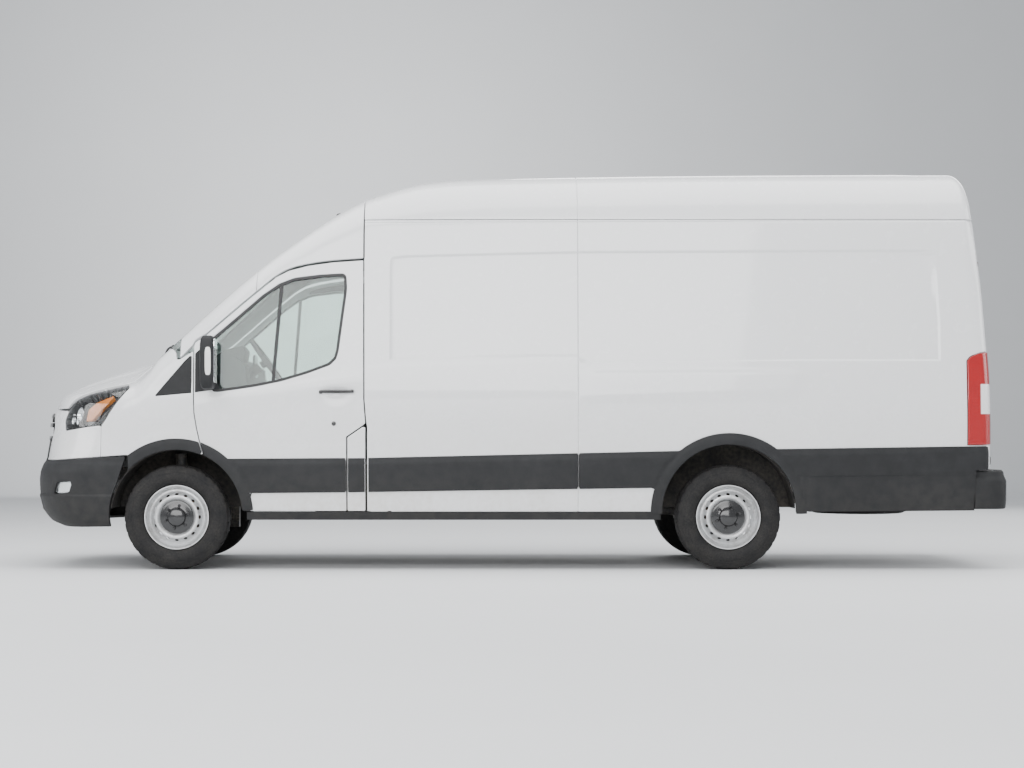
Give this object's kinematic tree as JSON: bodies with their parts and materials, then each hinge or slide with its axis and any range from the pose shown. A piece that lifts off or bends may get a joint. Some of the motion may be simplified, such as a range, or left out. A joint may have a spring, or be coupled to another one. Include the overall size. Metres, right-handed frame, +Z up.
{
  "type": "cargo van",
  "caption": "High-roof long-wheelbase panel van with hinged front doors, rear barn doors, bonnet and fuel flap, steered front wheels and an empty load space.",
  "frame": {"origin": "on the ground under the middle of the vehicle's bounding box", "axes": "+X towards the tail, +Y towards the passenger's side, +Z up; the nose points along -X"},
  "size_m": [6.703, 2.5546, 2.7501],
  "materials": {
    "paint": "gloss",
    "plastic": "satin",
    "trim": "satin",
    "chassis": "satin",
    "tub": "satin",
    "liner": "matt",
    "tyre": "matt",
    "wheel": "satin",
    "cast": "rough",
    "steel": "satin",
    "engine": "cast",
    "glass": "clear",
    "lamp": "clear",
    "red_lamp": "gloss",
    "cabin": "matt",
    "fabric": "woven"
  },
  "bodies": {
    "body": {"floor": "tub", "left_side": "paint", "right_side": "paint", "windshield_pillars": "paint", "cab_roof": "paint", "cargo_roof": "paint", "fenders": "paint", "front_fascia": "paint", "grille": "trim", "headlamps": "lamp", "cowl": "trim", "windshield": "glass", "firewall": "tub", "wheel_liners": "liner", "front_bumper": "plastic", "rear_bumper": "plastic", "sliding_door": "paint", "tail_lamps": "red_lamp", "body_cladding": "plastic", "front_suspension": "chassis", "rear_axle": "chassis", "engine": "engine", "exhaust": "steel", "fuel_tank": "liner", "spare_wheel": "tyre", "dashboard": "cabin", "seats": "fabric"},
    "bonnet": {"hood": "paint"},
    "driver_door_body": {"driver_door": "paint", "driver_window": "glass", "driver_door_cladding": "plastic", "left_mirror": "trim"},
    "passenger_door_body": {"passenger_door": "paint", "passenger_window": "glass", "passenger_door_cladding": "plastic", "right_mirror": "trim"},
    "left_tail_door": {"left_rear_door": "paint", "plate_holder": "trim"},
    "right_tail_door": {"right_rear_door": "paint"},
    "filler_flap": {"fuel_flap": "paint"},
    "hand_wheel": {"steering_wheel": "cabin"},
    "left_steer": {"left_knuckle": "cast"},
    "right_steer": {"right_knuckle": "cast"},
    "front_left_wheel": {"front_left_tyre": "tyre", "front_left_rim": "wheel"},
    "front_right_wheel": {"front_right_tyre": "tyre", "front_right_rim": "wheel"},
    "rear_left_wheel": {"rear_left_tyre": "tyre", "rear_left_rim": "wheel"},
    "rear_right_wheel": {"rear_right_tyre": "tyre", "rear_right_rim": "wheel"}
  },
  "joints": [
    {"name": "steer_left", "type": "hinge", "parent": "body", "child": "left_steer", "pos_m": [-2.317, -0.775, 0.356], "axis": [0, 0, 1], "range_deg": [-35, 35]},
    {"name": "steer_right", "type": "hinge", "parent": "body", "child": "right_steer", "pos_m": [-2.317, 0.775, 0.356], "axis": [0, 0, 1], "range_deg": [-36, 36]},
    {"name": "steering_wheel_turn", "type": "hinge", "parent": "body", "child": "hand_wheel", "pos_m": [-1.741, -0.48, 1.427], "axis": [0.809, 0, 0.5878], "range_deg": [-530, 530]},
    {"name": "front_left_spin", "type": "hinge", "parent": "left_steer", "child": "front_left_wheel", "pos_m": [-2.317, -0.87, 0.356], "axis": [0, -1, 0], "continuous": true},
    {"name": "front_right_spin", "type": "hinge", "parent": "right_steer", "child": "front_right_wheel", "pos_m": [-2.317, 0.87, 0.356], "axis": [0, -1, 0], "continuous": true},
    {"name": "rear_left_spin", "type": "hinge", "parent": "body", "child": "rear_left_wheel", "pos_m": [1.433, -0.87, 0.356], "axis": [0, -1, 0], "continuous": true},
    {"name": "rear_right_spin", "type": "hinge", "parent": "body", "child": "rear_right_wheel", "pos_m": [1.433, 0.87, 0.356], "axis": [0, -1, 0], "continuous": true},
    {"name": "driver_door_hinge", "type": "hinge", "parent": "body", "child": "driver_door_body", "pos_m": [-2.194, -1.017, 1], "axis": [0, 0, -1], "range_deg": [0, 70]},
    {"name": "passenger_door_hinge", "type": "hinge", "parent": "body", "child": "passenger_door_body", "pos_m": [-2.194, 1.017, 1], "axis": [0, 0, 1], "range_deg": [0, 70]},
    {"name": "bonnet_hinge", "type": "hinge", "parent": "body", "child": "bonnet", "pos_m": [-2.534, 0, 1.385], "axis": [0, 1, 0], "range_deg": [0, 55]},
    {"name": "left_rear_door_hinge", "type": "hinge", "parent": "body", "child": "left_tail_door", "pos_m": [3.225, -0.917, 1.6], "axis": [0, 0, -1], "range_deg": [0, 180]},
    {"name": "right_rear_door_hinge", "type": "hinge", "parent": "body", "child": "right_tail_door", "pos_m": [3.225, 0.917, 1.6], "axis": [0, 0, 1], "range_deg": [0, 180]},
    {"name": "fuel_flap_hinge", "type": "hinge", "parent": "body", "child": "filler_flap", "pos_m": [-1.032, -1.0315, 0.7], "axis": [0, 0, 1], "range_deg": [0, 80]}
  ],
  "couplings": [
    {"joint": "steer_right", "follows": "steer_left", "ratio": 1},
    {"joint": "steering_wheel_turn", "follows": "steer_left", "ratio": 15}
  ]
}
